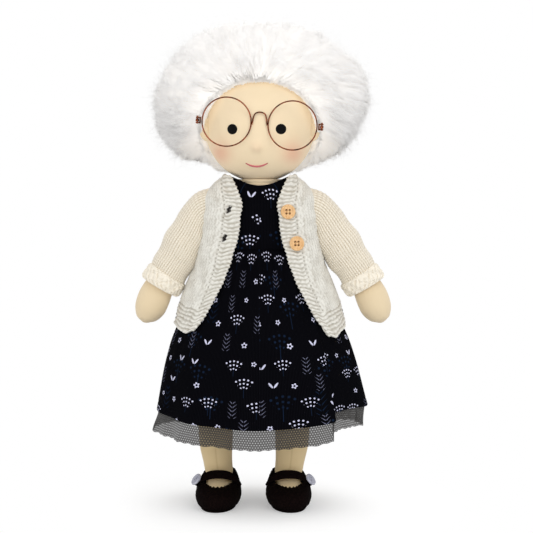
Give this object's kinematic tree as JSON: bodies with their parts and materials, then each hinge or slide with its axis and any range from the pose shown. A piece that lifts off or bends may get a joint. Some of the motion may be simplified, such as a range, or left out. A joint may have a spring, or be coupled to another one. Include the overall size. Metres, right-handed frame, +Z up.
{
  "type": "cloth doll",
  "caption": "Standing stuffed cloth doll with curly white hair, wire glasses, print dress, net petticoat, knitted cardigan and felt strap shoes, soft-jointed at neck, arms and legs.",
  "frame": {"origin": "on the floor between the shoes, under the middle of the doll's outline", "axes": "+Z up, the doll faces -Y, and its left side is +X"},
  "size_m": [0.2106, 0.1341, 0.4],
  "materials": {
    "skin": "matte",
    "eye_thread": "satin",
    "mouth_thread": "satin",
    "hair": "satin",
    "wig_cap": "matte",
    "wire": "polished",
    "dress": "matte",
    "net": "matte",
    "knit": "matte",
    "button_wood": "satin",
    "felt": "matte",
    "shoe_button": "gloss"
  },
  "bodies": {
    "torso": {"torso": "skin", "dress_bodice": "dress", "dress_skirt": "dress", "petticoat": "net", "cardigan_back": "knit", "cardigan_front_left": "knit", "cardigan_front_right": "knit", "cardigan_button_upper": "button_wood", "cardigan_button_lower": "button_wood"},
    "neck": {"neck": "skin"},
    "head": {"head": "skin", "ear_left": "skin", "ear_right": "skin", "eye_left": "eye_thread", "eye_right": "eye_thread", "mouth_stitch": "mouth_thread", "wig_cap": "wig_cap", "hair": "hair"},
    "glasses": {"glasses_bridge": "wire", "glasses_rim_left": "wire", "glasses_rim_right": "wire", "hinge_block_left": "wire", "hinge_block_right": "wire", "hinge_screw_left": "wire", "hinge_screw_right": "wire"},
    "temple_left": {"temple_left": "wire"},
    "temple_right": {"temple_right": "wire"},
    "arm_left": {"arm_left": "skin", "sleeve_left": "knit", "cuff_left": "knit"},
    "arm_right": {"arm_right": "skin", "sleeve_right": "knit", "cuff_right": "knit"},
    "hips": {"hip_tape": "skin"},
    "leg_left": {"leg_left": "skin", "shoe_sole_left": "felt", "shoe_upper_left": "felt"},
    "leg_right": {"leg_right": "skin", "shoe_sole_right": "felt", "shoe_upper_right": "felt"},
    "strap_left": {"shoe_strap_left": "felt", "shoe_button_left": "shoe_button"},
    "strap_right": {"shoe_strap_right": "felt", "shoe_button_right": "shoe_button"}
  },
  "joints": [
    {"name": "head_nod", "type": "hinge", "parent": "torso", "child": "neck", "pos_m": [0, 0, 0.256], "axis": [1, 0, 0], "range_deg": [-8, 8]},
    {"name": "head_turn", "type": "hinge", "parent": "neck", "child": "head", "pos_m": [0, 0, 0.3135], "axis": [0, 0, 1], "range_deg": [-40, 40]},
    {"name": "glasses_off", "type": "slide", "parent": "head", "child": "glasses", "axis": [0, -1, 0], "range_m": [0, 0.075]},
    {"name": "temple_left_open", "type": "hinge", "parent": "glasses", "child": "temple_left", "pos_m": [0.04932, -0.0456, 0.31176], "axis": [-0.0576, 0, -0.9983], "range_deg": [0, 12]},
    {"name": "temple_right_open", "type": "hinge", "parent": "glasses", "child": "temple_right", "pos_m": [-0.04932, -0.0456, 0.31744], "axis": [0.0576, 0, 0.9983], "range_deg": [0, 12]},
    {"name": "arm_left_swing", "type": "hinge", "parent": "torso", "child": "arm_left", "pos_m": [0.0363, 0, 0.243], "axis": [-1, 0, 0], "range_deg": [-35, 100]},
    {"name": "arm_right_swing", "type": "hinge", "parent": "torso", "child": "arm_right", "pos_m": [-0.0363, 0, 0.243], "axis": [-1, 0, 0], "range_deg": [-35, 100]},
    {"name": "legs_sit", "type": "hinge", "parent": "torso", "child": "hips", "pos_m": [0, 0, 0.157], "axis": [-1, 0, 0], "range_deg": [0, 80], "deforming": ["dress_skirt", "petticoat", "cardigan_front_left", "cardigan_front_right"]},
    {"name": "leg_left_swing", "type": "hinge", "parent": "hips", "child": "leg_left", "pos_m": [0.023, 0, 0.157], "axis": [-1, 0, 0], "range_deg": [-20, 20]},
    {"name": "leg_right_swing", "type": "hinge", "parent": "hips", "child": "leg_right", "pos_m": [-0.027, 0, 0.157], "axis": [-1, 0, 0], "range_deg": [-20, 20]},
    {"name": "strap_left_open", "type": "hinge", "parent": "leg_left", "child": "strap_left", "pos_m": [0.00735, -0.011, 0.01537], "axis": [0, -1, 0], "range_deg": [0, 75]},
    {"name": "strap_right_open", "type": "hinge", "parent": "leg_right", "child": "strap_right", "pos_m": [-0.01785, -0.011, 0.01537], "axis": [0, 1, 0], "range_deg": [0, 75]}
  ]
}
